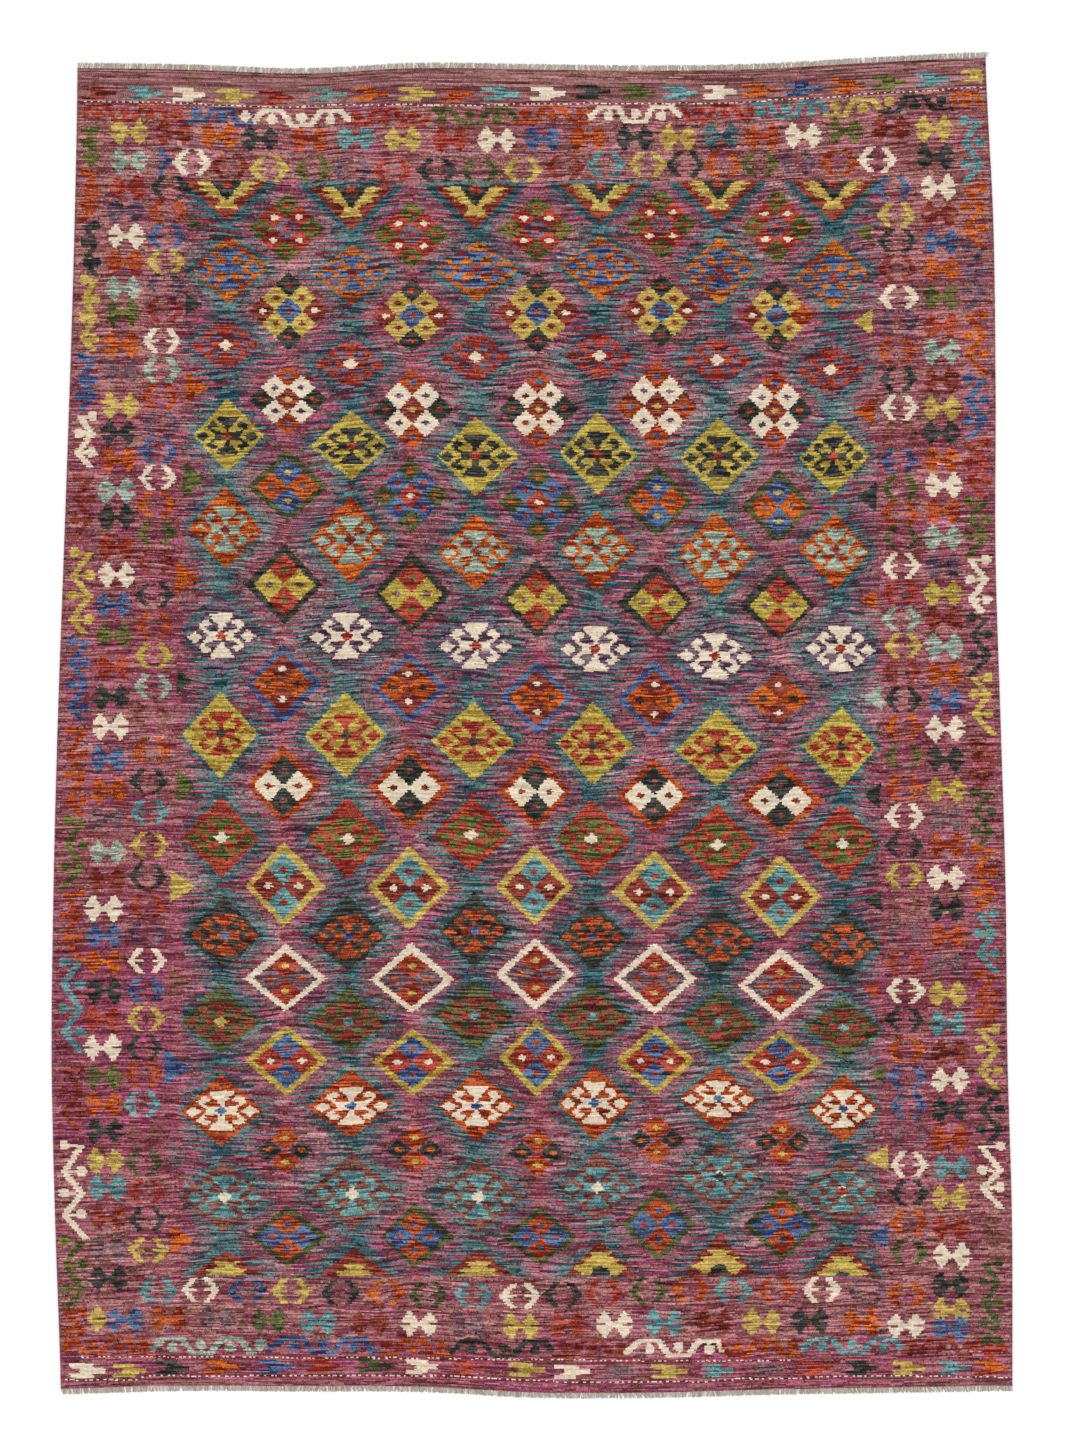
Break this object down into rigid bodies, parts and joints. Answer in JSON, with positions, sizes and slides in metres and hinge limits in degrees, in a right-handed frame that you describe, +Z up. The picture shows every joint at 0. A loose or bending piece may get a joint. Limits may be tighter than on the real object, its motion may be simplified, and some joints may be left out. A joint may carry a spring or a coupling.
{
  "type": "kilim rug",
  "caption": "Flat-woven wool kilim rug lying flat, with a short fringe of cut warp ends along each of its two ends.",
  "frame": {"origin": "on the floor under the middle of the whole rug, fringes included", "axes": "+X along the weft towards the right selvedge, +Y along the warp towards the picture's top end, +Z up out of the face"},
  "size_m": [2.1142, 2.9674, 0.003],
  "materials": {
    "woven_wool": "matte weft-faced wool with stepped motifs on a heathered mauve and teal ground",
    "warp_ends": "matte undyed grey-beige yarn"
  },
  "bodies": {
    "root": {"kilim_cloth": "woven_wool", "fringe_top": "warp_ends", "fringe_bottom": "warp_ends"}
  },
  "joints": []
}
